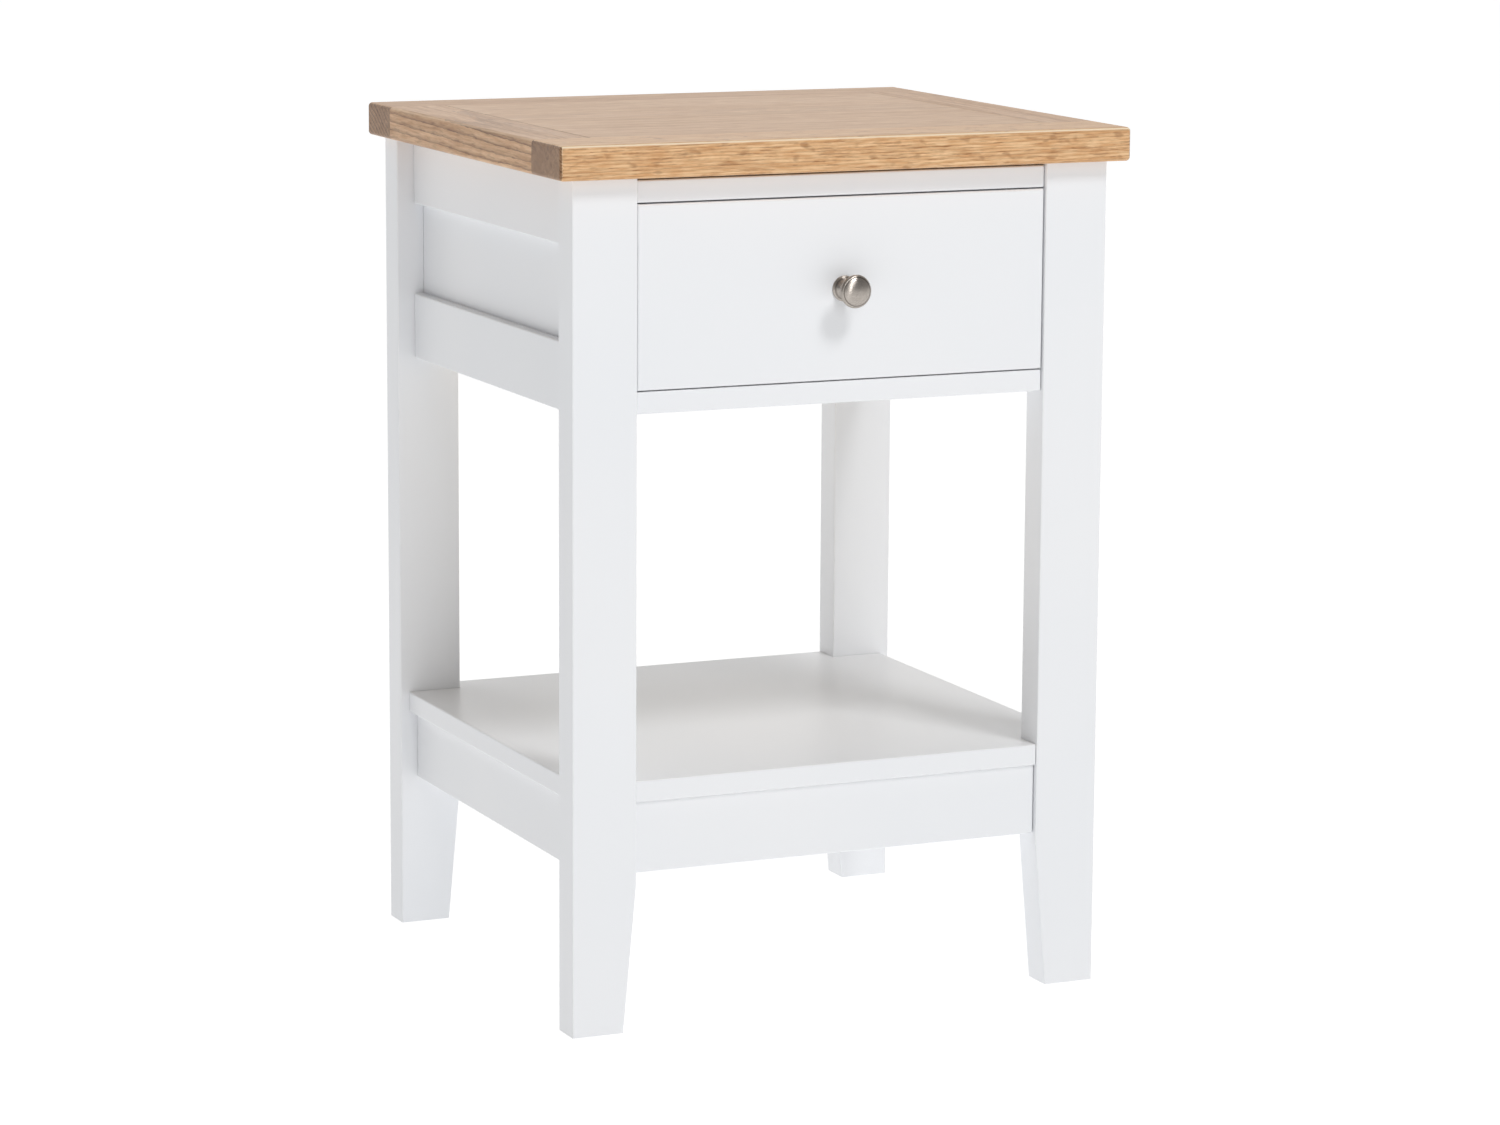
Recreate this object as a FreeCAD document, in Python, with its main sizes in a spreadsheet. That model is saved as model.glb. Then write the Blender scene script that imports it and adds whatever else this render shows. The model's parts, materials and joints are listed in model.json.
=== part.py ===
import FreeCAD, Part

# Side table with one drawer: an oak top with edge strips on a painted leg frame,
# a drawer on wooden runners and a low shelf resting on four aprons.
# Millimetres, +Z up, +Y towards the back. The origin is on the floor, on the centre line,
# half way between the front of the knob and the back of the top.

import math
import os
import re

import Sketcher

DRIVING_SIZES = {
    # Whole table
    "top_width": 453,
    "top_depth": 403,
    "table_height": 650,
    "top_thickness": 25,
    "top_overhang_side": 13.5,
    "top_overhang_front": 12,
    "top_overhang_back": 1.5,
    # Top boards
    "top_end_strip_width": 45,
    "top_front_strip_depth": 56,
    "top_back_strip_depth": 51,
    "top_edge_round": 3,
    "top_joint_groove": 0.4,
    # Legs
    "leg_width": 50,
    "leg_depth": 27,
    "foot_width": 40,
    "taper_below_apron": 8,
    "arris_round": 1.2,
    # Rails and panels round the drawer
    "rail_thickness": 18,
    "side_rail_recess": 13.5,
    "front_rail_recess": 3,
    "front_rail_depth": 50,
    "top_rail_height": 18.5,
    "top_rail_gap": 2.4,
    "drawer_opening_height": 135.5,
    "lower_rail_height": 16,
    "side_top_rail_height": 52,
    "side_lower_rail_height": 50.5,
    "side_rail_drop": 2.5,
    "panel_thickness": 6,
    "panel_recess": 8,
    "panel_groove_depth": 7,
    "back_board_thickness": 15,
    "back_recess": 3,
    "joint_gap": 0.2,
    "tenon_length": 12,
    "tenon_shoulder": 4,
    "shoulder_gap": 0.5,
    # Shelf and aprons
    "shelf_height": 187,
    "shelf_thickness": 16,
    "shelf_side_inset": 7,
    "shelf_front_recess": 1.8,
    "shelf_leg_gap": 0.4,
    "apron_height": 53,
    "apron_front_recess": 4,
    # Drawer box
    "drawer_gap": 1,
    "drawer_front_recess": 2,
    "drawer_front_thickness": 18,
    "drawer_side_gap": 1.5,
    "drawer_running_gap": 0.3,
    "drawer_box_thickness": 12,
    "drawer_box_height": 115,
    "drawer_bottom_thickness": 6,
    "drawer_bottom_rise": 10,
    "drawer_groove_depth": 6,
    "drawer_edge_round": 1.5,
    # Runners, guides, kickers and stops
    "runner_height": 18,
    "runner_ledge": 23,
    "guide_height": 30,
    "stop_height": 20,
    "stop_width": 18,
    "stop_thickness": 8,
    # Knob and screws
    "knob_projection": 25,
    "knob_base_radius": 9.4,
    "knob_base_thickness": 1.8,
    "knob_base_lip": 0.8,
    "knob_neck_radius": 4.8,
    "knob_neck_distance": 8.6,
    "knob_head_radius": 12.2,
    "knob_face_radius": 10.4,
    "knob_dome_height": 3,
    "knob_bevel_depth": 1.9,
    "knob_bevel_bow": 3,
    "knob_rim_thickness": 1.2,
    "knob_face_flat": 0.6,
    "knob_bore_depth": 12,
    "knob_screw_radius": 2,
    "screw_radius": 2,
    "screw_head_radius": 4,
    "screw_head_height": 2.4,
    "screw_grip": 15,
    "screw_gap": 0.15,
    "top_screw_front_spacing": 180,
    "top_screw_side_spacing": 200,
}

doc = FreeCAD.newDocument("SideTable")
sizes = doc.addObject("Spreadsheet::Sheet", "Sizes")
for row, (alias, value) in enumerate(DRIVING_SIZES.items(), 1):
    sizes.set("A%d" % row, alias)
    sizes.set("B%d" % row, str(value))
    sizes.setAlias("B%d" % row, alias)
doc.recompute()

# Lines and planes of the table, worked out from the driving sizes.
KNOB_REACH = "(knob_projection - drawer_front_recess - top_overhang_front)"
TOP_BACK = f"((top_depth + {KNOB_REACH})/2)"
TOP_FRONT = f"({TOP_BACK} - top_depth)"
TOP_SIDE = "(top_width/2)"
TOP_UNDER = "(table_height - top_thickness)"
END_STRIP_IN = f"({TOP_SIDE} - top_end_strip_width)"
FRONT_STRIP_IN = f"({TOP_FRONT} + top_front_strip_depth)"
BACK_STRIP_IN = f"({TOP_BACK} - top_back_strip_depth)"

LEG_OUT = f"({TOP_SIDE} - top_overhang_side)"
LEG_IN = f"({LEG_OUT} - leg_width)"
FRONT_LEG_FRONT = f"({TOP_FRONT} + top_overhang_front)"
FRONT_LEG_BACK = f"({FRONT_LEG_FRONT} + leg_depth)"
REAR_LEG_BACK = f"({TOP_BACK} - top_overhang_back)"
REAR_LEG_FRONT = f"({REAR_LEG_BACK} - leg_depth)"

TOP_RAIL_UNDER = f"({TOP_UNDER} - top_rail_height)"
TOP_RAIL_TOP = f"({TOP_UNDER} - top_rail_gap)"
LOWER_RAIL_TOP = f"({TOP_RAIL_UNDER} - drawer_opening_height)"
LOWER_RAIL_UNDER = f"({LOWER_RAIL_TOP} - lower_rail_height)"
SIDE_TOP_RAIL_UNDER = f"({TOP_UNDER} - side_top_rail_height)"
SIDE_UNDER = f"({LOWER_RAIL_UNDER} - side_rail_drop)"
SIDE_LOWER_RAIL_TOP = f"({SIDE_UNDER} + side_lower_rail_height)"
SIDE_RAIL_OUT = f"({LEG_OUT} - side_rail_recess)"
SIDE_RAIL_IN = f"({SIDE_RAIL_OUT} - rail_thickness)"
PANEL_OUT = f"({SIDE_RAIL_OUT} - panel_recess)"
PANEL_IN = f"({PANEL_OUT} - panel_thickness)"
FRONT_RAIL_FRONT = f"({FRONT_LEG_FRONT} + front_rail_recess)"
FRONT_RAIL_BACK = f"({FRONT_RAIL_FRONT} + front_rail_depth)"
BACK_BOARD_BACK = f"({REAR_LEG_BACK} - back_recess)"
BACK_BOARD_FRONT = f"({BACK_BOARD_BACK} - back_board_thickness)"

SHELF_UNDER = "(shelf_height - shelf_thickness)"
SHELF_SIDE = f"({LEG_OUT} - shelf_side_inset)"
SHELF_FRONT = f"({FRONT_LEG_FRONT} + shelf_front_recess)"
APRON_UNDER = f"({SHELF_UNDER} - apron_height)"
FRONT_APRON_FRONT = f"({FRONT_LEG_FRONT} + apron_front_recess)"
FRONT_APRON_BACK = f"({FRONT_APRON_FRONT} + rail_thickness)"
BACK_APRON_FRONT = f"({BACK_BOARD_BACK} - rail_thickness)"

DRAWER_FACE = f"({FRONT_LEG_FRONT} + drawer_front_recess)"
DRAWER_FRONT_BACK = f"({DRAWER_FACE} + drawer_front_thickness)"
DRAWER_FRONT_SIDE = f"({LEG_IN} - drawer_gap)"
DRAWER_FRONT_UNDER = f"({LOWER_RAIL_TOP} + drawer_gap)"
DRAWER_FRONT_TOP = f"({TOP_RAIL_UNDER} - drawer_gap)"
DRAWER_BOX_SIDE = f"({LEG_IN} - drawer_side_gap)"
DRAWER_BOX_IN = f"({DRAWER_BOX_SIDE} - drawer_box_thickness)"
DRAWER_BOX_UNDER = f"({LOWER_RAIL_TOP} + drawer_running_gap)"
DRAWER_BOX_TOP = f"({DRAWER_BOX_UNDER} + drawer_box_height)"
DRAWER_BOX_BACK = f"({REAR_LEG_FRONT} - stop_thickness - drawer_running_gap)"
DRAWER_BACK_FRONT = f"({DRAWER_BOX_BACK} - drawer_box_thickness)"
DRAWER_BOTTOM_UNDER = f"({DRAWER_BOX_UNDER} + drawer_bottom_rise)"
DRAWER_BOTTOM_TOP = f"({DRAWER_BOTTOM_UNDER} + drawer_bottom_thickness)"
KNOB_HEIGHT = f"(({DRAWER_FRONT_UNDER} + {DRAWER_FRONT_TOP})/2)"

RUNNER_IN = f"({LEG_IN} - runner_ledge)"
RUNNER_UNDER = f"({LOWER_RAIL_TOP} - runner_height)"
GUIDE_TOP = f"({LOWER_RAIL_TOP} + guide_height)"
STOP_FRONT = f"({DRAWER_BOX_BACK} + drawer_running_gap)"
STOP_TOP = f"({LOWER_RAIL_TOP} + stop_height)"
TOP_SCREW_SIDE = f"(({RUNNER_IN} + {SIDE_RAIL_IN})/2)"
TOP_SCREW_FRONT_Y = f"(({FRONT_RAIL_FRONT} + {FRONT_RAIL_BACK})/2)"
TOP_SCREW_MIDDLE_Y = f"(({FRONT_RAIL_BACK} + {REAR_LEG_FRONT})/2)"

ALIAS = re.compile(r"[a-z][a-z_]*[a-z]")
SIDES = ("left", "right")
ENDS = ("front", "rear")
FACES = {
    "left": (0, 0),
    "right": (0, 1),
    "front": (1, 0),
    "back": (1, 1),
    "bottom": (2, 0),
    "top": (2, 1),
}
UPRIGHT_FACES = ("left", "right", "front", "back")
TOWARDS_FRONT = FreeCAD.Rotation(FreeCAD.Vector(1, 0, 0), 90)
SAME = 0.01

spans = {}


def cells(formula):
    """A formula written with plain aliases, as an expression on the Sizes sheet."""
    return ALIAS.sub(lambda word: "Sizes." + word.group(), formula)


def value(formula):
    """The value of such a formula."""
    return float(sizes.evalExpression(cells(formula)))


def across(side, near, far):
    """The span in X between two distances from the centre line, on one side."""
    if side == "right":
        return near, far
    return f"(-{far})", f"(-{near})"


def centred(reach):
    """The span in X that reaches equally far to both sides."""
    return f"(-{reach})", reach


def shrunk(span, by):
    low, high = span
    return f"({low} + {by})", f"({high} - {by})"


def grown(span, by):
    low, high = span
    return f"({low} - {by})", f"({high} + {by})"


def new_body(name, x, y, z):
    """An empty body whose own origin is the low corner of the spans x, y and z."""
    body = doc.addObject("PartDesign::Body", name)
    body.Label = name
    spans[name] = (x, y, z)
    for axis, (low, _) in zip("xyz", (x, y, z)):
        body.setExpression(".Placement.Base." + axis, cells(low))
    return body


def bow(start, end, radius, bulge):
    """The arc from start to end that bulges to the left or the right of the way there."""
    chord = end - start
    half = chord.Length / 2
    rise = radius - math.sqrt(radius**2 - half**2)
    left = FreeCAD.Vector(-chord.y, chord.x, 0).normalize()
    middle = (start + end) / 2
    # A sketch holds an arc anticlockwise, so one that bulges to the left is drawn backwards.
    if bulge == "left":
        return Part.Arc(end, middle + left * rise, start)
    return Part.Arc(start, middle - left * rise, end)


def outline(body, role, corners, bows=None):
    """A closed sketch on one origin plane through corners given as formulas.

    bows gives, by the number of its first corner, the radius and bulge of each side that is
    an arc.
    """
    bows = bows or {}
    plane = next(item for item in body.Origin.OriginFeatures if item.Role == role)
    sketch = body.newObject("Sketcher::SketchObject", body.Name + "_outline")
    sketch.AttachmentSupport = [(plane, "")]
    sketch.MapMode = "FlatFace"
    points = [FreeCAD.Vector(value(across_), value(up), 0) for across_, up in corners]
    starts = []
    for index, start in enumerate(points):
        end = points[(index + 1) % len(points)]
        if index in bows:
            radius, bulge = bows[index]
            sketch.addGeometry(bow(start, end, value(radius), bulge))
        else:
            sketch.addGeometry(Part.LineSegment(start, end))
        begins = sketch.Geometry[index].StartPoint.distanceToPoint(start) < SAME
        starts.append(1 if begins else 2)
    for index, corner in enumerate(corners):
        following = (index + 1) % len(corners)
        sketch.addConstraint(
            Sketcher.Constraint("Coincident", index, 3 - starts[index], following, starts[following])
        )
        for kind, formula in zip(("DistanceX", "DistanceY"), corner):
            place = Sketcher.Constraint(kind, -1, 1, index, starts[index], value(formula))
            number = sketch.addConstraint(place)
            sketch.setExpression(f"Constraints[{number}]", cells(formula))
    for index, (radius, _) in bows.items():
        number = sketch.addConstraint(Sketcher.Constraint("Radius", index, value(radius)))
        sketch.setExpression(f"Constraints[{number}]", cells(radius))
    return sketch


def board(name, x, y, z):
    """A plain board that fills the spans x, y and z."""
    body = new_body(name, x, y, z)
    wide, deep, high = (f"({top} - {low})" for low, top in (x, y, z))
    corners = (("0", "0"), (wide, "0"), (wide, deep), ("0", deep))
    pad = body.newObject("PartDesign::Pad", name + "_pad")
    pad.Profile = outline(body, "XY_Plane", corners)
    pad.setExpression("Length", cells(high))
    return body


def place(feature, body, x, y, z):
    """Puts a primitive at a point of the table's own frame."""
    for axis, formula, (low, _) in zip("xyz", (x, y, z), spans[body.Name]):
        feature.setExpression(".Placement.Base." + axis, cells(f"{formula} - {low}"))


def block(body, kind, x, y, z):
    """Adds or cuts a box that fills the spans x, y and z."""
    box = body.newObject("PartDesign::" + kind, body.Name + "_block")
    for size, (low, high) in zip(("Length", "Width", "Height"), (x, y, z)):
        box.setExpression(size, cells(f"{high} - {low}"))
    place(box, body, x[0], y[0], z[0])


def drill(body, radius, x, y, z, depth, turn=None):
    """Cuts a round hole that runs up, or the way turn points it, from a point."""
    hole = body.newObject("PartDesign::SubtractiveCylinder", body.Name + "_hole")
    if turn:
        hole.Placement = FreeCAD.Placement(FreeCAD.Vector(), turn)
    hole.setExpression("Radius", cells(radius))
    hole.setExpression("Height", cells(depth))
    place(hole, body, x, y, z)


def on_face(body, edge, face):
    axis, end = FACES[face]
    span = spans[body.Name][axis]
    middle = edge.BoundBox.Center[axis]
    return abs(middle - value(f"{span[end]} - {span[0]}")) < SAME


def runs_along(edge, axes):
    box = edge.BoundBox
    lengths = {"x": box.XLength, "y": box.YLength, "z": box.ZLength}
    return max(lengths, key=lengths.get) in axes


def soften(body, feature, size, on, off=(), along="xyz"):
    """Rounds or chamfers the edges that lie on the faces named in on and not in off."""
    doc.recompute()
    base = body.Tip
    chosen = []
    for number, edge in enumerate(base.Shape.Edges, 1):
        wanted = any(on_face(body, edge, face) for face in on)
        barred = any(on_face(body, edge, face) for face in off)
        if wanted and not barred and runs_along(edge, along):
            chosen.append(f"Edge{number}")
    dressing = body.newObject("PartDesign::" + feature, body.Name + "_" + feature.lower())
    dressing.Base = (base, chosen)
    dressing.setExpression("Radius" if feature == "Fillet" else "Size", cells(size))
    doc.recompute()


# Tenons: for each rail or apron, the two spans of its tenon's section. The first span is in Y
# for the members that run across and in X for those that run from front to back.
ACROSS_FRONT = {
    "front_top_rail": (
        shrunk((FRONT_RAIL_FRONT, FRONT_LEG_BACK), "tenon_shoulder"),
        shrunk((TOP_RAIL_UNDER, TOP_UNDER), "tenon_shoulder"),
    ),
    "front_lower_rail": (
        shrunk((FRONT_RAIL_FRONT, FRONT_LEG_BACK), "tenon_shoulder"),
        shrunk((LOWER_RAIL_UNDER, LOWER_RAIL_TOP), "tenon_shoulder"),
    ),
    "apron_front": (
        shrunk((FRONT_APRON_FRONT, FRONT_APRON_BACK), "tenon_shoulder"),
        shrunk((APRON_UNDER, SHELF_UNDER), "tenon_shoulder"),
    ),
}
ACROSS_REAR = {
    "back_board": (
        shrunk((BACK_BOARD_FRONT, BACK_BOARD_BACK), "tenon_shoulder"),
        shrunk((SIDE_UNDER, TOP_UNDER), "tenon_shoulder"),
    ),
    "apron_back": (
        shrunk((BACK_APRON_FRONT, BACK_BOARD_BACK), "tenon_shoulder"),
        shrunk((APRON_UNDER, SHELF_UNDER), "tenon_shoulder"),
    ),
}
SIDE_TENON = f"({SIDE_RAIL_IN} + tenon_shoulder)", f"({SIDE_RAIL_OUT} - tenon_shoulder)"
FRONT_TO_BACK = {
    "side_top_rail": (
        SIDE_TENON,
        shrunk((f"({SIDE_TOP_RAIL_UNDER} + panel_groove_depth)", TOP_UNDER), "tenon_shoulder"),
    ),
    "side_lower_rail": (
        SIDE_TENON,
        shrunk((SIDE_UNDER, f"({SIDE_LOWER_RAIL_TOP} - panel_groove_depth)"), "tenon_shoulder"),
    ),
    "apron": (SIDE_TENON, shrunk((APRON_UNDER, SHELF_UNDER), "tenon_shoulder")),
}
GROOVE_ROOM = "(panel_groove_depth + joint_gap)"
MORTISE_DEPTH = "(tenon_length + joint_gap)"


def leg(side, end):
    """A leg with its inner face tapered to the foot, mortised for the rails, panel and aprons."""
    inwards = "-" if side == "right" else ""
    front = FRONT_LEG_FRONT if end == "front" else REAR_LEG_FRONT
    back = FRONT_LEG_BACK if end == "front" else REAR_LEG_BACK
    outer = LEG_OUT if side == "right" else f"(-{LEG_OUT})"
    taper_top = f"({APRON_UNDER} - taper_below_apron)"
    body = new_body(f"leg_{end}_{side}", (outer, outer), (front, back), ("0", TOP_UNDER))
    corners = (
        ("0", "0"),
        (f"({inwards}foot_width)", "0"),
        (f"({inwards}leg_width)", taper_top),
        (f"({inwards}leg_width)", TOP_UNDER),
        ("0", TOP_UNDER),
    )
    pad = body.newObject("PartDesign::Pad", body.Name + "_pad")
    pad.Profile = outline(body, "XZ_Plane", corners)
    pad.setExpression("Length", cells("leg_depth"))
    pad.Reversed = True
    soften(body, "Fillet", "arris_round", on=("front", "back"), along="z")
    into_side = across(side, LEG_IN, f"({LEG_IN} + {MORTISE_DEPTH})")
    for deep, high in (ACROSS_FRONT if end == "front" else ACROSS_REAR).values():
        block(body, "SubtractiveBox", into_side, grown(deep, "joint_gap"), grown(high, "joint_gap"))
    for wide, high in FRONT_TO_BACK.values():
        near, far = grown(wide, "joint_gap")
        into_end = into_leg(end, MORTISE_DEPTH)
        block(body, "SubtractiveBox", across(side, near, far), into_end, grown(high, "joint_gap"))
    near, far = grown((PANEL_IN, PANEL_OUT), "joint_gap")
    panel_high = grown((SIDE_LOWER_RAIL_TOP, SIDE_TOP_RAIL_UNDER), GROOVE_ROOM)
    block(body, "SubtractiveBox", across(side, near, far), into_leg(end, GROOVE_ROOM), panel_high)


def into_leg(end, depth, before="0"):
    """The span in Y from before a leg's face inside the frame into its wood."""
    if end == "front":
        return f"({FRONT_LEG_BACK} - {depth})", f"({FRONT_LEG_BACK} + {before})"
    return f"({REAR_LEG_FRONT} - {before})", f"({REAR_LEG_FRONT} + {depth})"


def member_across(name, tenon, y, z):
    """A rail, apron or board between two legs of the same end, with a tenon at each end."""
    shoulder = f"({LEG_IN} - shoulder_gap)"
    body = board(name, centred(shoulder), y, z)
    soften(body, "Fillet", "arris_round", on=UPRIGHT_FACES)
    for side in SIDES:
        reach = across(side, shoulder, f"({LEG_IN} + tenon_length)")
        block(body, "AdditiveBox", reach, *tenon)
    return body


def member_front_to_back(name, side, tenon, z):
    """A rail or apron between the two legs of one side, with a tenon at each end."""
    x = across(side, SIDE_RAIL_IN, SIDE_RAIL_OUT)
    shoulders = shrunk((FRONT_LEG_BACK, REAR_LEG_FRONT), "shoulder_gap")
    body = board(f"{name}_{side}", x, shoulders, z)
    soften(body, "Fillet", "arris_round", on=UPRIGHT_FACES)
    for end in ENDS:
        reach = into_leg(end, "tenon_length", "shoulder_gap")
        block(body, "AdditiveBox", across(side, *tenon[0]), reach, tenon[1])
    return body


def table_top():
    """A centre panel framed by a strip on each edge, with the outer edges rounded."""
    high = (TOP_UNDER, "table_height")
    centre_y = (FRONT_STRIP_IN, BACK_STRIP_IN)
    centre = board("top_centre_panel", centred(END_STRIP_IN), centre_y, high)
    soften(centre, "Chamfer", "top_joint_groove", on=("top",), along="y")
    round_size = "top_edge_round"
    front = board("top_front_strip", centred(TOP_SIDE), (TOP_FRONT, FRONT_STRIP_IN), high)
    soften(front, "Fillet", round_size, on=("front", "left", "right"), off=("back",))
    back = board("top_back_strip", centred(TOP_SIDE), (BACK_STRIP_IN, TOP_BACK), high)
    soften(back, "Fillet", round_size, on=("back", "left", "right"), off=("front",))
    for side in SIDES:
        inner = "left" if side == "right" else "right"
        strip = board(f"top_{side}_strip", across(side, END_STRIP_IN, TOP_SIDE), centre_y, high)
        soften(strip, "Fillet", round_size, on=(side,), off=("front", "back"))
        soften(strip, "Chamfer", "top_joint_groove", on=(inner,), off=("bottom",), along="y")
    pilot = "(screw_radius + screw_gap)"
    depth = "(screw_grip + screw_gap)"
    for x, y in top_screw_places():
        holder = front if y == TOP_SCREW_FRONT_Y else centre
        drill(holder, pilot, x, y, TOP_UNDER, depth)


def top_screw_places():
    """Where the screws stand that pull the top down, as X and Y formulas."""
    front = [(f"({sign}top_screw_front_spacing/2)", TOP_SCREW_FRONT_Y) for sign in ("-", "")]
    sides = []
    for sign in ("-", ""):
        for offset in ("- top_screw_side_spacing/2", "+ top_screw_side_spacing/2"):
            sides.append((f"({sign}{TOP_SCREW_SIDE})", f"({TOP_SCREW_MIDDLE_Y} {offset})"))
    return front + sides


def drill_for_screw(body, x, y):
    """A clearance hole for a top screw with a counterbore for its head."""
    hole_length = f"({TOP_UNDER} - {TOP_RAIL_UNDER})"
    drill(body, "(screw_radius + screw_gap)", x, y, TOP_RAIL_UNDER, hole_length)
    sink = "(screw_head_height + screw_gap)"
    drill(body, "(screw_head_radius + screw_gap)", x, y, TOP_RAIL_UNDER, sink)


def front_frame():
    """The rails above and below the drawer and the apron under the shelf."""
    rail_y = (FRONT_RAIL_FRONT, FRONT_RAIL_BACK)
    sections = {
        "front_top_rail": (rail_y, (TOP_RAIL_UNDER, TOP_RAIL_TOP)),
        "front_lower_rail": (rail_y, (LOWER_RAIL_UNDER, LOWER_RAIL_TOP)),
        "apron_front": ((FRONT_APRON_FRONT, FRONT_APRON_BACK), (APRON_UNDER, SHELF_UNDER)),
    }
    for name, (y, z) in sections.items():
        body = member_across(name, ACROSS_FRONT[name], y, z)
        if name == "front_top_rail":
            for x, screw_y in top_screw_places()[:2]:
                drill_for_screw(body, x, screw_y)


def back_frame():
    """The board that closes the drawer case behind and the apron under the shelf."""
    sections = {
        "back_board": ((BACK_BOARD_FRONT, BACK_BOARD_BACK), (SIDE_UNDER, TOP_UNDER)),
        "apron_back": ((BACK_APRON_FRONT, BACK_BOARD_BACK), (APRON_UNDER, SHELF_UNDER)),
    }
    for name, (y, z) in sections.items():
        member_across(name, ACROSS_REAR[name], y, z)


def side_frame(side):
    """Two grooved rails with a thin panel between them, and the apron under the shelf."""
    sections = {
        "side_top_rail": (SIDE_TOP_RAIL_UNDER, TOP_UNDER),
        "side_lower_rail": (SIDE_UNDER, SIDE_LOWER_RAIL_TOP),
        "apron": (APRON_UNDER, SHELF_UNDER),
    }
    grooves = {
        "side_top_rail": (SIDE_TOP_RAIL_UNDER, f"({SIDE_TOP_RAIL_UNDER} + {GROOVE_ROOM})"),
        "side_lower_rail": (f"({SIDE_LOWER_RAIL_TOP} - {GROOVE_ROOM})", SIDE_LOWER_RAIL_TOP),
    }
    near, far = grown((PANEL_IN, PANEL_OUT), "joint_gap")
    for name, z in sections.items():
        body = member_front_to_back(name, side, FRONT_TO_BACK[name], z)
        if name in grooves:
            clear = (FRONT_LEG_BACK, REAR_LEG_FRONT)
            block(body, "SubtractiveBox", across(side, near, far), clear, grooves[name])
    board(
        f"side_panel_{side}",
        across(side, PANEL_IN, PANEL_OUT),
        grown((FRONT_LEG_BACK, REAR_LEG_FRONT), "panel_groove_depth"),
        grown((SIDE_LOWER_RAIL_TOP, SIDE_TOP_RAIL_UNDER), "panel_groove_depth"),
    )


def shelf():
    """The low shelf, notched round the legs and resting on the aprons."""
    back = f"({REAR_LEG_BACK} - shelf_front_recess)"
    body = board("shelf", centred(SHELF_SIDE), (SHELF_FRONT, back), (SHELF_UNDER, "shelf_height"))
    notches = (
        (SHELF_FRONT, f"({FRONT_LEG_BACK} + shelf_leg_gap)"),
        (f"({REAR_LEG_FRONT} - shelf_leg_gap)", back),
    )
    for side in SIDES:
        x = across(side, f"({LEG_IN} - shelf_leg_gap)", SHELF_SIDE)
        for y in notches:
            block(body, "SubtractiveBox", x, y, (SHELF_UNDER, "shelf_height"))
    soften(body, "Fillet", "arris_round", on=UPRIGHT_FACES, along="xy")


def drawer_front():
    """The drawer front, grooved for the bottom and bored for the knob's screw."""
    x = centred(DRAWER_FRONT_SIDE)
    z = (DRAWER_FRONT_UNDER, DRAWER_FRONT_TOP)
    body = board("drawer_front", x, (DRAWER_FACE, DRAWER_FRONT_BACK), z)
    soften(body, "Fillet", "drawer_edge_round", on=("front",))
    groove_x = centred(f"({DRAWER_BOX_IN} + drawer_groove_depth + joint_gap)")
    groove_y = (f"({DRAWER_FRONT_BACK} - drawer_groove_depth - joint_gap)", DRAWER_FRONT_BACK)
    bottom_z = grown((DRAWER_BOTTOM_UNDER, DRAWER_BOTTOM_TOP), "joint_gap")
    block(body, "SubtractiveBox", groove_x, groove_y, bottom_z)
    radius = "(knob_screw_radius + screw_gap)"
    depth = f"({DRAWER_FRONT_BACK} - {DRAWER_FACE})"
    drill(body, radius, "0", DRAWER_FRONT_BACK, KNOB_HEIGHT, depth, TOWARDS_FRONT)


def drawer_box():
    """The drawer's sides, back and bottom; the bottom slides in under the back."""
    bottom_z = (DRAWER_BOTTOM_UNDER, DRAWER_BOTTOM_TOP)
    box_y = (DRAWER_FRONT_BACK, DRAWER_BOX_BACK)
    for side in SIDES:
        x = across(side, DRAWER_BOX_IN, DRAWER_BOX_SIDE)
        body = board(f"drawer_side_{side}", x, box_y, (DRAWER_BOX_UNDER, DRAWER_BOX_TOP))
        soften(body, "Fillet", "arris_round", on=("top",), along="y")
        groove = across(side, DRAWER_BOX_IN, f"({DRAWER_BOX_IN} + drawer_groove_depth + joint_gap)")
        block(body, "SubtractiveBox", groove, box_y, grown(bottom_z, "joint_gap"))
    back_z = (f"({DRAWER_BOTTOM_TOP} + joint_gap)", DRAWER_BOX_TOP)
    back = board("drawer_back", centred(DRAWER_BOX_IN), (DRAWER_BACK_FRONT, DRAWER_BOX_BACK), back_z)
    soften(back, "Fillet", "arris_round", on=("top",), along="x")
    bottom_y = (f"({DRAWER_FRONT_BACK} - drawer_groove_depth)", DRAWER_BOX_BACK)
    board("drawer_bottom", centred(f"({DRAWER_BOX_IN} + drawer_groove_depth)"), bottom_y, bottom_z)


def runners(side):
    """What carries and steers the drawer on one side: runner, guide, kicker and stop."""
    y = (FRONT_RAIL_BACK, REAR_LEG_FRONT)
    inner_x = across(side, RUNNER_IN, SIDE_RAIL_IN)
    board(f"drawer_runner_{side}", inner_x, y, (RUNNER_UNDER, LOWER_RAIL_TOP))
    guide_x = across(side, LEG_IN, SIDE_RAIL_IN)
    board(f"drawer_guide_{side}", guide_x, y, (LOWER_RAIL_TOP, GUIDE_TOP))
    kicker = board(f"drawer_kicker_{side}", inner_x, y, (TOP_RAIL_UNDER, TOP_UNDER))
    places = top_screw_places()[2:]
    for x, screw_y in places[:2] if side == "left" else places[2:]:
        drill_for_screw(kicker, x, screw_y)
    stop_x = across(side, f"({LEG_IN} - stop_width)", LEG_IN)
    board(f"drawer_stop_{side}", stop_x, (STOP_FRONT, REAR_LEG_FRONT), (LOWER_RAIL_TOP, STOP_TOP))


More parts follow.
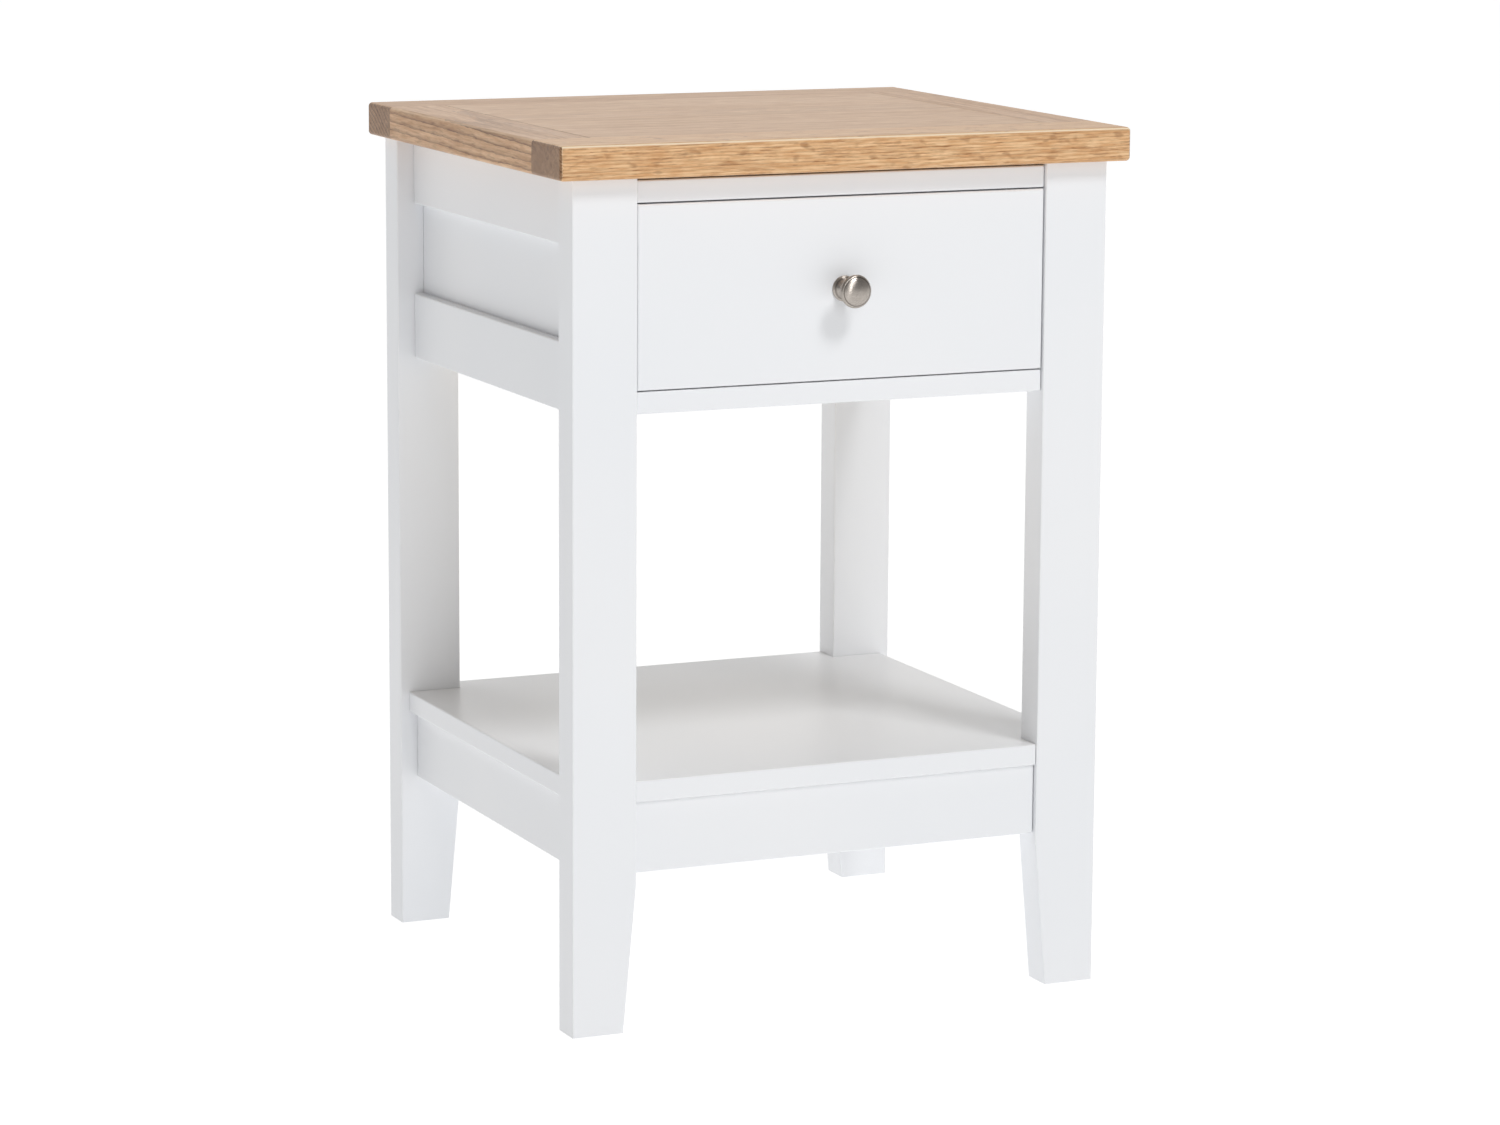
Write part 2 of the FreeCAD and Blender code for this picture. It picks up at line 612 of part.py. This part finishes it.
def turned(body, role, corners, bows, axis):
    """Turns a profile about one axis of its own sketch."""
    revolution = body.newObject("PartDesign::Revolution", body.Name + "_turning")
    profile = outline(body, role, corners, bows)
    revolution.Profile = profile
    revolution.ReferenceAxis = (profile, [axis])
    revolution.Angle = 360


def knob():
    """A turned knob: a lipped base, a hollow-sided neck and a head with a bevelled dome."""
    face = (DRAWER_FACE, DRAWER_FACE)
    body = new_body("knob", ("0", "0"), face, (KNOB_HEIGHT, KNOB_HEIGHT))
    face_edge = "(knob_projection - knob_dome_height)"
    rim_front = f"({face_edge} - knob_bevel_depth)"
    rim_back = f"({rim_front} - knob_rim_thickness)"
    corners = (
        ("0", "0"),
        ("knob_base_radius", "0"),
        ("knob_base_radius", "(knob_base_lip - knob_base_thickness)"),
        ("(knob_base_radius - knob_base_lip)", "(-knob_base_thickness)"),
        ("knob_neck_radius", "(-knob_neck_distance)"),
        ("(knob_head_radius - knob_rim_thickness/2)", f"(-{rim_back})"),
        ("knob_head_radius", f"(-{rim_front})"),
        ("knob_face_radius", f"(-{face_edge})"),
        ("knob_face_flat", "(-knob_projection)"),
        ("0", "(-knob_projection)"),
    )
    dome = "((knob_face_radius*knob_face_radius/knob_dome_height + knob_dome_height)/2)"
    bows = {
        3: ("knob_base_radius", "right"),
        4: ("knob_head_radius", "right"),
        6: ("knob_bevel_bow", "left"),
        7: (dome, "left"),
    }
    turned(body, "XY_Plane", corners, bows, "V_Axis")
    radius = "(knob_screw_radius + screw_gap)"
    drill(body, radius, "0", DRAWER_FACE, KNOB_HEIGHT, "knob_bore_depth", TOWARDS_FRONT)


def screw_profile(radius, length, sign):
    """Half of a pan-head screw's outline, from the head's face along its axis."""
    head_end = f"({sign}screw_head_height)"
    tip = f"({sign}({length}))"
    return (
        ("0", "0"),
        ("screw_head_radius", "0"),
        ("screw_head_radius", head_end),
        (radius, head_end),
        (radius, tip),
        ("0", tip),
    )


def knob_screw():
    """The screw that runs from inside the drawer through its front into the knob."""
    y = f"({DRAWER_FRONT_BACK} + screw_head_height)"
    body = new_body("knob_screw", ("0", "0"), (y, y), (KNOB_HEIGHT, KNOB_HEIGHT))
    reach = "(screw_head_height + drawer_front_thickness + knob_bore_depth - screw_gap)"
    turned(body, "XY_Plane", screw_profile("knob_screw_radius", reach, "-"), None, "V_Axis")


def top_screws():
    """The screws through the top rail and the kickers, as one group of separate solids."""
    reach = f"({TOP_UNDER} - {TOP_RAIL_UNDER} + screw_grip)"
    screws = []
    for number, (x, y) in enumerate(top_screw_places(), 1):
        body = new_body(f"top_screw_{number}", (x, x), (y, y), (TOP_RAIL_UNDER, TOP_RAIL_UNDER))
        turned(body, "XZ_Plane", screw_profile("screw_radius", reach, ""), None, "V_Axis")
        screws.append(body)
    group = doc.addObject("Part::Compound", "top_screws")
    group.Label = "top_screws"
    group.Links = screws


def subparts():
    """Every body on its own, and the screws as one group."""
    grouped = {screw.Name for screw in doc.getObject("top_screws").Links}
    bodies = [item for item in doc.findObjects("PartDesign::Body") if item.Name not in grouped]
    return bodies + [doc.getObject("top_screws")]


def check_and_write():
    """Writes parts/NODE.step for each sub-part once the whole document is sound."""
    doc.recompute()
    for item in doc.Objects:
        if "Invalid" in item.State or "Error" in item.State:
            raise RuntimeError(f"{item.Label} did not build: {item.State}")
    pieces = subparts()
    for piece in pieces:
        if piece.Shape.isNull() or not piece.Shape.isValid():
            raise RuntimeError(f"{piece.Label} has no valid shape")
    os.makedirs("parts", exist_ok=True)
    for piece in pieces:
        piece.Shape.exportStep(os.path.join("parts", piece.Label + ".step"))


table_top()
for leg_side in SIDES:
    for leg_end in ENDS:
        leg(leg_side, leg_end)
    side_frame(leg_side)
    runners(leg_side)
front_frame()
back_frame()
shelf()
drawer_front()
drawer_box()
knob()
knob_screw()
top_screws()
check_and_write()
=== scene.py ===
import json
import math

import bpy
from mathutils import Matrix, Vector


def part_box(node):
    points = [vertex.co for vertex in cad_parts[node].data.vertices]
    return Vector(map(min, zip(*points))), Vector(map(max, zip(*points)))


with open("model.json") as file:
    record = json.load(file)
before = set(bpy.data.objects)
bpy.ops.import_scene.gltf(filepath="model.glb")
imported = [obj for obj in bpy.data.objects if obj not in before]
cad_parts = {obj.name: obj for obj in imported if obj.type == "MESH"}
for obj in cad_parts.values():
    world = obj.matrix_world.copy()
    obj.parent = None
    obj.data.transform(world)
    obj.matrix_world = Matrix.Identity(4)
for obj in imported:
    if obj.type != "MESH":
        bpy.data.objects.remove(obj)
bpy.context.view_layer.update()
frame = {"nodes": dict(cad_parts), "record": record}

# ---------------------------------------------------------------- camera and studio

CAMERA_PLACE = Vector((-1.4545, -3.2687, 0.9519))
CAMERA_TURN = math.radians(24.106)
CAMERA_DIP = math.radians(10.226)
CAMERA_LEAN = math.radians(0.353)
CAMERA_LENS = 113.61
FILM_WIDTH = 36.0

# How strongly the studio shines behind the table and in front of it. The change lies between two
# directions, each told by how far it points along +Y.
STUDIO_BEHIND = 1.0
STUDIO_FRONT = 0.22
CHANGE_FROM = 0.3
CHANGE_TO = 0.95

FLOOR_WIDTH = 60.0
FLOOR_GREY = 0.2
FLOOR_GLOW = 0.94

LIT_POINT = Vector((0, 0, 0.35))
SOFTBOXES = {
    "key_softbox": {"centre": (1.32, -3.9, 5.45), "width": 1.4, "height": 1.4, "power": 133},
    "overhead_softbox": {"centre": (0, 0.4, 3.4), "width": 1.6, "height": 1.6, "power": 13},
    "knob_softbox": {"centre": (-0.5, -3.3, 1.5), "width": 0.5, "height": 1.8, "power": 14},
}


def aim(camera, turn, dip, lean):
    """Points a camera: turned right from +Y, dipped below the horizon, then leaning."""
    upright = Matrix.Rotation(math.pi / 2, 4, "X")
    facing = Matrix.Rotation(-turn, 4, "Z") @ Matrix.Rotation(-dip, 4, "X")
    roll = Matrix.Rotation(lean, 4, "Z")
    camera.matrix_world = Matrix.Translation(camera.location) @ facing @ upright @ roll


def set_camera():
    bpy.ops.object.camera_add(location=CAMERA_PLACE)
    camera = bpy.context.object
    camera.name = "camera"
    camera.data.lens = CAMERA_LENS
    camera.data.sensor_width = FILM_WIDTH
    camera.data.clip_start = 0.1
    camera.data.clip_end = 50.0
    aim(camera, CAMERA_TURN, CAMERA_DIP, CAMERA_LEAN)
    bpy.context.scene.camera = camera


def softbox(name, centre, width, height, power):
    """A large rectangular area light that faces the table."""
    bpy.ops.object.light_add(type="AREA", location=centre)
    light = bpy.context.object
    light.name = name
    light.data.shape = "RECTANGLE"
    light.data.size = width
    light.data.size_y = height
    light.data.energy = power
    light.rotation_mode = "QUATERNION"
    light.rotation_quaternion = (LIT_POINT - Vector(centre)).to_track_quat("-Z", "Y")


def set_world():
    """A white cyclorama behind the table and a greyer studio in front of it."""
    world = bpy.data.worlds.new("studio")
    bpy.context.scene.world = world
    world.use_nodes = True
    nodes, links = world.node_tree.nodes, world.node_tree.links
    background = nodes["Background"]
    background.inputs["Color"].default_value = (1, 1, 1, 1)
    split = nodes.new("ShaderNodeSeparateXYZ")
    change = nodes.new("ShaderNodeMapRange")
    change.inputs["From Min"].default_value = CHANGE_FROM
    change.inputs["From Max"].default_value = CHANGE_TO
    change.inputs["To Min"].default_value = STUDIO_FRONT
    change.inputs["To Max"].default_value = STUDIO_BEHIND
    links.new(nodes.new("ShaderNodeTexCoord").outputs["Generated"], split.inputs[0])
    links.new(split.outputs["Y"], change.inputs["Value"])
    links.new(change.outputs["Result"], background.inputs["Strength"])


def set_floor():
    """A pale floor that glows like a light table, so that shadows on it stay faint."""
    bpy.ops.mesh.primitive_plane_add(size=FLOOR_WIDTH, location=(0, 0, 0))
    floor = bpy.context.object
    floor.name = "studio_floor"
    finish = Finish("pale_floor")
    finish.dress(
        Base_Color=(FLOOR_GREY, FLOOR_GREY, FLOOR_GREY, 1),
        Roughness=0.9,
        Specular_IOR_Level=0.0,
        Emission_Color=(1, 1, 1, 1),
        Emission_Strength=FLOOR_GLOW,
    )
    floor.data.materials.append(finish.material)


def set_studio():
    bpy.context.scene.view_settings.view_transform = "Standard"
    set_world()
    set_floor()
    for name, settings in SOFTBOXES.items():
        softbox(name, **settings)


# ---------------------------------------------------------------- node helpers

NOISE_LOW = 0.3
NOISE_HIGH = 0.7


class Finish:
    """A material under construction: adds nodes and joins their sockets by name."""

    def __init__(self, name):
        self.material = bpy.data.materials.new(name)
        self.material.use_nodes = True
        self.nodes = self.material.node_tree.nodes
        self.links = self.material.node_tree.links
        self.shader = self.nodes["Principled BSDF"]

    def node(self, kind, inputs=None, **settings):
        made = self.nodes.new("ShaderNode" + kind)
        for name, setting in settings.items():
            setattr(made, name, setting)
        for name, source in (inputs or {}).items():
            self.feed(made.inputs[name], source)
        return made

    def feed(self, socket, source):
        """Gives a socket a value, or links it to another node's output."""
        if isinstance(source, bpy.types.NodeSocket):
            self.links.new(source, socket)
        else:
            socket.default_value = source

    def place(self, turn=(0, 0, 0)):
        """Object coordinates, turned in degrees."""
        return self.turn(self.node("TexCoord").outputs["Object"], turn)

    def facing(self):
        """Which way the surface faces, as its X, Y and Z parts."""
        return self.parts(self.node("TexCoord").outputs["Normal"])

    def turn(self, where, degrees):
        angles = tuple(math.radians(angle) for angle in degrees)
        return self.node("Mapping", {"Vector": where, "Rotation": angles}).outputs[0]

    def move(self, where, centre):
        """The place seen from a centre."""
        shift = tuple(-part for part in centre)
        return self.node("Mapping", {"Vector": where, "Location": shift}).outputs[0]

    def stretch(self, where, scale):
        return self.node("Mapping", {"Vector": where, "Scale": scale}).outputs[0]

    def noise(self, where, scale=1.0, detail=3.0, roughness=0.5):
        inputs = {"Vector": where, "Scale": scale, "Detail": detail, "Roughness": roughness}
        return self.node("TexNoise", inputs).outputs["Fac"]

    def grain(self, board, along, across, **look):
        """Noise drawn out along a board. along and across say how fine it is, per metre."""
        return self.noise(self.stretch(board, (along, across, across)), **look)

    def spread(self, value, low, high, to_low=0.0, to_high=1.0):
        """Stretches the values from low to high over another range, and holds them inside it."""
        inputs = {
            "Value": value,
            "From Min": low,
            "From Max": high,
            "To Min": to_low,
            "To Max": to_high,
        }
        return self.node("MapRange", inputs).outputs["Result"]

    def even(self, noise, to_low=0.0, to_high=1.0):
        """Spreads a noise, which mostly keeps to the middle of its range, over a whole one."""
        return self.spread(noise, NOISE_LOW, NOISE_HIGH, to_low, to_high)

    def calc(self, operation, first, second=None):
        made = self.node("Math", operation=operation)
        self.feed(made.inputs[0], first)
        if second is not None:
            self.feed(made.inputs[1], second)
        return made.outputs[0]

    def distance(self, first, second):
        """How far a point lies from the centre, from its two parts."""
        squares = [self.calc("MULTIPLY", part, part) for part in (first, second)]
        return self.calc("SQRT", self.calc("ADD", *squares))

    def parts(self, vector):
        made = self.node("SeparateXYZ", {"Vector": vector})
        return made.outputs["X"], made.outputs["Y"], made.outputs["Z"]

    def tint(self, amount, base, other):
        """The base colour, turned into the other one by an amount."""
        made = self.node("Mix", data_type="RGBA")
        self.feed(made.inputs["Factor"], amount)
        self.feed(made.inputs[6], base)
        self.feed(made.inputs[7], other)
        return made.outputs[2]

    def bump(self, height, distance, strength=1.0):
        inputs = {"Height": height, "Distance": distance, "Strength": strength}
        return self.node("Bump", inputs).outputs[0]

    def dress(self, **sockets):
        """Feeds the shader's own sockets, named with underscores for spaces."""
        for name, source in sockets.items():
            self.feed(self.shader.inputs[name.replace("_", " ")], source)
        return self.material


def colour(red, green, blue):
    """A colour given in everyday screen values, as the linear one the shader takes."""
    parts = [part / 255 for part in (red, green, blue)]
    linear = [part / 12.92 if part <= 0.04045 else ((part + 0.055) / 1.055) ** 2.4 for part in parts]
    return (*linear, 1.0)


# ---------------------------------------------------------------- finishes

# The colour of the painted highlight along the oak's upper edges.
OAK_EDGE_HIGHLIGHT = colour(255, 236, 206)
OAK_BEIGE = {"light": colour(234, 197, 158), "mid": colour(206, 160, 118), "band": colour(104, 66, 40)}
OAK_TAN = {"light": colour(228, 188, 146), "mid": colour(200, 152, 108), "band": colour(106, 62, 32)}
OAK_HONEY = {"light": colour(244, 206, 160), "mid": colour(214, 162, 112), "band": colour(132, 82, 42)}
OAK_END = {"light": colour(178, 140, 104), "mid": colour(150, 110, 76), "band": colour(62, 36, 20)}

# How strongly each mark shows in an oak board that has nothing special about it, and how strong its
# painted highlight along the upper edges is.
USUAL_OAK = {"bands": 0.5, "flecks": 0.0, "streaks": 0.3, "pores": 0.7, "painted_sheen": 0.2}

# Which way the pattern of a board is turned so that its grain runs along an axis.
GRAIN_TURNS = {"x": (0, 0, 0), "y": (0, 0, -90)}

# A ring wanders by up to RING_WANDER metres, and its border is jagged by up to RING_JAG of its
# width. The higher RING_FADE is, the sooner the dark start of a ring is gone.
RING_WANDER = 0.004
RING_JAG = 0.18
RING_FADE = 3.2
END_RAGGEDNESS = 0.25

# How deep the fine relief of each finish is, in metres.
OAK_RELIEF = 0.00003
PAINT_RELIEF = 0.00002
WOOD_RELIEF = 0.0001
NICKEL_RELIEF = 0.00008

PAINT = colour(243, 244, 246)
PAINT_CLOUD = colour(240, 242, 245)
# The colour of the painted highlight along the paint's upper edges.
PAINT_EDGE_HIGHLIGHT = colour(254, 254, 255)

WOOD_PALE = colour(238, 228, 212)
WOOD_STREAK = colour(228, 214, 194)
WOOD_FIBRE = colour(200, 176, 146)

NICKEL = colour(194, 187, 179)
NICKEL_BRUSHED = colour(162, 154, 147)
# The colours of the painted shade in the line round the knob's face and at the foot of its neck.
NICKEL_SHADE = colour(84, 78, 72)
NICKEL_FOOT_SHADE = colour(84, 77, 72)
BRUSH_SLANT = 25
KNOB_FACE_RADIUS = 0.0104
KNOB_FOOT_RADIUS = 0.0086
# The painted shade in the line round the knob's face is darkest up to the first distance and gone at
# the second.
KNOB_LINE_CORE = 0.00015
KNOB_LINE_EDGE = 0.0005

ZINC = colour(200, 200, 196)
ZINC_MOTTLE = colour(184, 184, 182)


def growth_rings(finish, board, pith, lean, width):
    """How dark the earlywood is: 1 at the start of each ring, fading outwards to 0.

    pith is where the tree's centre line passes: along the board, to its side and up, from the
    table's origin. lean is by how many degrees it drops and swings against the board's length.
    width is the width of one year's ring.
    """
    drop, swing = lean
    tree = finish.move(finish.turn(board, (0, drop, swing)), pith)
    _, side, up = finish.parts(tree)
    out = finish.distance(side, up)
    wander = finish.grain(board, 4, 22, detail=2.0)
    out = finish.calc("ADD", out, finish.spread(wander, 0, 1, -RING_WANDER, RING_WANDER))
    jag = finish.grain(board, 90, 300)
    out = finish.calc("ADD", out, finish.spread(jag, 0, 1, -RING_JAG * width, RING_JAG * width))

    years = finish.calc("DIVIDE", out, width)
    fade = finish.calc("SUBTRACT", 1.0, finish.calc("FRACT", years))
    year = finish.calc("FLOOR", years)
    vigour = finish.node("TexWhiteNoise", {"W": year}, noise_dimensions="1D").outputs["Value"]
    darkness = finish.calc("POWER", fade, RING_FADE)
    return finish.calc("MULTIPLY", darkness, finish.spread(vigour, 0, 1, 0.5, 1.0))


def open_pores(finish, board, early):
    """Short dark dashes, thickest in the earlywood."""
    dashes = finish.grain(board, 60, 640, roughness=0.6)
    pores = finish.spread(dashes, 0.52, 0.62)
    return finish.calc("MULTIPLY", pores, finish.spread(early, 0.0, 0.5, 0.35, 1.0))


def silver_rays(finish, board):
    """Scattered flecks where the wood's rays come to the surface."""
    rays = finish.noise(finish.stretch(board, (90, 90, 200)), detail=1.0)
    return finish.spread(rays, 0.62, 0.74)


def softened_on_top(finish, mark, facing, kept):
    """A mark that shows in full on the sides and less where the surface faces up."""
    return finish.calc("MULTIPLY", mark, finish.spread(facing[2], 0.3, 0.9, 1.0, kept))


def rings_and_pores(finish, board, facing, tree):
    """The dark bands of the rings and the pores in them, both softened on the top's face."""
    early = growth_rings(finish, board, **tree)
    pores = open_pores(finish, board, early)
    return softened_on_top(finish, early, facing, 0.35), softened_on_top(finish, pores, facing, 0.5)


def sawn_end(finish, board, endwise):
    """Where the board shows its end grain: 1 there and 0 elsewhere, with a ragged border."""
    ragged = finish.noise(board, 700.0, 2.0)
    ragged = finish.spread(ragged, 0, 1, -END_RAGGEDNESS, END_RAGGEDNESS)
    across = finish.calc("ABSOLUTE", endwise)
    return finish.spread(finish.calc("ADD", across, ragged), 0.50, 0.62)


def painted_edge_highlight(finish, facing):
    """A painted highlight where the surface turns over an upper edge, facing none of the three
    directions squarely.
    """
    x, y, z = [finish.calc("ABSOLUTE", part) for part in facing]
    squarely = finish.calc("MAXIMUM", finish.calc("MAXIMUM", x, y), z)
    turned = finish.spread(squarely, 0.76, 0.92, 1.0, 0.0)
    return finish.calc("MULTIPLY", turned, finish.spread(facing[2], -0.1, 0.05))


def oak(name, tones, along, tree, **marks):
    """Lacquered oak with its grain along x or y, cut from its own place in the tree."""
    shown = {**USUAL_OAK, **marks}
    finish = Finish(name)
    board = finish.place(GRAIN_TURNS[along])
    facing = finish.facing()
    early, pores = rings_and_pores(finish, board, facing, tree)
    streaks = finish.grain(board, 7, 230, detail=4.0, roughness=0.6)
    strands = finish.grain(board, 48, 520, detail=4.0, roughness=0.65)
    strands = finish.spread(strands, 0.38, 0.62)
    patches = finish.even(finish.grain(board, 9, 30, detail=2.0), 0.0, 0.2)
    end = sawn_end(finish, board, facing["xy".index(along)])
    shades = {tone: finish.tint(end, tones[tone], OAK_END[tone]) for tone in OAK_END}

    lightness = finish.calc("ADD", finish.calc("MULTIPLY", strands, 0.8), patches)
    base = finish.tint(lightness, shades["mid"], shades["light"])
    layers = (
        finish.spread(streaks, 0.45, 0.75, 0.0, shown["streaks"]),
        finish.calc("MULTIPLY", early, finish.spread(end, 0, 1, shown["bands"], 1.0)),
        finish.calc("MULTIPLY", silver_rays(finish, board), shown["flecks"]),
        finish.calc("MULTIPLY", pores, shown["pores"]),
    )
    for layer in layers:
        base = finish.tint(layer, base, shades["band"])
    # A painted highlight along the upper edges, kept off the end grain.
    highlight_mask = finish.calc("MULTIPLY", painted_edge_highlight(finish, facing), finish.calc("SUBTRACT", 1.0, end))
    base = finish.tint(finish.calc("MULTIPLY", highlight_mask, shown["painted_sheen"]), base, OAK_EDGE_HIGHLIGHT)
    height = finish.calc("SUBTRACT", finish.calc("MULTIPLY", strands, 0.25), pores)
    return finish.dress(
        Base_Color=base,
        Roughness=finish.even(streaks, 0.30, 0.42),
        Specular_IOR_Level=0.25,
        Normal=finish.bump(height, OAK_RELIEF),
    )


def satin_paint():
    """White satin paint, sprayed on sanded wood."""
    finish = Finish("satin_white_paint")
    where = finish.place()
    cloud = finish.noise(finish.stretch(where, (4, 4, 4)), detail=2.0)
    peel = finish.noise(where, 420.0, 2.0)
    base = finish.tint(finish.even(cloud), PAINT, PAINT_CLOUD)
    # Painted highlight: the paint is lighter where it turns over an upper edge.
    base = finish.tint(painted_edge_highlight(finish, finish.facing()), base, PAINT_EDGE_HIGHLIGHT)
    return finish.dress(
        Base_Color=base,
        Roughness=finish.even(cloud, 0.29, 0.34),
        Specular_IOR_Level=0.5,
        Normal=finish.bump(peel, PAINT_RELIEF, 0.3),
    )


def bare_wood(name, along):
    """Sanded pale wood for the drawer box and what carries it."""
    finish = Finish(name)
    board = finish.place(GRAIN_TURNS[along])
    streaks = finish.grain(board, 4, 130, detail=4.0, roughness=0.55)
    fibres = finish.grain(board, 40, 1500, detail=2.0)
    base = finish.tint(finish.even(streaks), WOOD_PALE, WOOD_STREAK)
    base = finish.tint(finish.spread(fibres, 0.58, 0.75, 0.0, 0.3), base, WOOD_FIBRE)
    return finish.dress(
        Base_Color=base,
        Roughness=0.62,
        Normal=finish.bump(streaks, WOOD_RELIEF, 0.5),
    )


def turned_line_shade(finish, radius, depth):
    """Painted shade of the fine step round the knob's face, and nothing from 3 mm in front of its
    middle back.
    """
    off_line = finish.calc("ABSOLUTE", finish.calc("SUBTRACT", radius, KNOB_FACE_RADIUS))
    line = finish.spread(off_line, KNOB_LINE_CORE, KNOB_LINE_EDGE, 1.0, 0.0)
    return finish.calc("MULTIPLY", line, finish.spread(depth, -0.004, -0.003, 1.0, 0.0))


def shaded_foot(finish, radius, depth, back):
    """Painted shade at the foot of the knob's neck, inside the lip of its base. back is where the base
    ends.
    """
    seat = finish.spread(depth, back - 0.0035, back - 0.0022)
    inside = finish.spread(radius, KNOB_FOOT_RADIUS - 0.0006, KNOB_FOOT_RADIUS, 1.0, 0.0)
    return finish.calc("MULTIPLY", seat, inside)


def brushed_nickel():
    """Satin nickel with its brush marks slanting, with painted shade in the turned line round the face
    and at the foot of its neck.
    """
    finish = Finish("brushed_nickel")
    low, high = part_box("knob")
    middle = (low + high) / 2
    where = finish.move(finish.place(), middle)
    slanted = finish.turn(where, (0, BRUSH_SLANT, 0))
    brush = finish.noise(finish.stretch(slanted, (300, 900, 5200)), detail=2.0)
    across, depth, up = finish.parts(where)
    radius = finish.distance(across, up)
    line = turned_line_shade(finish, radius, depth)
    foot = shaded_foot(finish, radius, depth, high.y - middle.y)
    base = finish.tint(finish.even(brush), NICKEL, NICKEL_BRUSHED)
    # Painted shade in the step round the knob's face.
    base = finish.tint(finish.calc("MULTIPLY", line, 0.75), base, NICKEL_SHADE)
    # Painted shade at the foot of the neck, by the drawer's face.
    base = finish.tint(finish.calc("MULTIPLY", foot, 0.7), base, NICKEL_FOOT_SHADE)
    height = finish.calc("SUBTRACT", finish.calc("MULTIPLY", brush, 0.05), line)
    return finish.dress(
        Base_Color=base,
        Metallic=1.0,
        Roughness=finish.even(brush, 0.25, 0.36),
        Anisotropic=0.85,
        Anisotropic_Rotation=0.2,
        Tangent=finish.node("Tangent", direction_type="RADIAL", axis="Z").outputs[0],
        Normal=finish.bump(height, NICKEL_RELIEF, 0.5),
    )


def zinc_steel():
    """Zinc-plated screws with a faint mottle."""
    finish = Finish("zinc_steel")
    mottle = finish.noise(finish.place(), 900.0, 2.0)
    return finish.dress(
        Base_Color=finish.tint(finish.even(mottle), ZINC, ZINC_MOTTLE),
        Metallic=1.0,
        Roughness=finish.even(mottle, 0.28, 0.4),
    )


# ---------------------------------------------------------------- which piece wears what


def wear(node, finish):
    """Gives a CAD node one finish all over."""
    materials = frame["nodes"][node].data.materials
    materials.clear()
    materials.append(finish)


def finish_top():
    """Five boards, each cut from its own place in its own tree."""
    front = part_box("top_front_strip")[0].y
    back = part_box("top_back_strip")[1].y

    tree = {"pith": (0, front + 0.075, 0.55), "lean": (0.3, 0.3), "width": 0.0018}
    marks = {"bands": 0.6, "flecks": 0.4, "streaks": 0.25, "pores": 0.65, "painted_sheen": 1.0}
    wear("top_front_strip", oak("oak_front_strip", OAK_HONEY, "x", tree, **marks))

    tree = {"pith": (0, back + 0.06, 0.514), "lean": (0.3, 0.3), "width": 0.0042}
    wear("top_back_strip", oak("oak_back_strip", OAK_TAN, "x", tree))

    tree = {"pith": (0, 0.03, 0.40), "lean": (0.2, 0.5), "width": 0.0032}
    marks = {"bands": 0.3, "streaks": 0.2, "pores": 0.3}
    wear("top_centre_panel", oak("oak_centre_panel", OAK_BEIGE, "x", tree, **marks))

    tree = {"pith": (0, 0.20, 0.50), "lean": (1.0, 0.3), "width": 0.0060}
    marks = {"bands": 1.0, "streaks": 0.35, "pores": 0.6}
    wear("top_left_strip", oak("oak_left_strip", OAK_TAN, "y", tree, **marks))

    tree = {"pith": (0, -0.22, 0.56), "lean": (0.7, 0.4), "width": 0.0040}
    marks = {"bands": 0.4, "flecks": 0.1}
    wear("top_right_strip", oak("oak_right_strip", OAK_TAN, "y", tree, **marks))


def finish_nodes():
    """The top's own boards, then every other piece by the name of its material."""
    finish_top()
    finishes = {
        "white_paint": satin_paint(),
        "bare_wood": bare_wood("bare_wood_front_to_back", "y"),
        "brushed_nickel": brushed_nickel(),
        "screw_steel": zinc_steel(),
    }
    for entry in frame["record"]["subparts"]:
        slot = entry["material_slot"]
        if slot in finishes:
            wear(entry["node"], finishes[slot])
    # The drawer's back is the one bare board that runs across the table.
    wear("drawer_back", bare_wood("bare_wood_across", "x"))


set_camera()
set_studio()
finish_nodes()
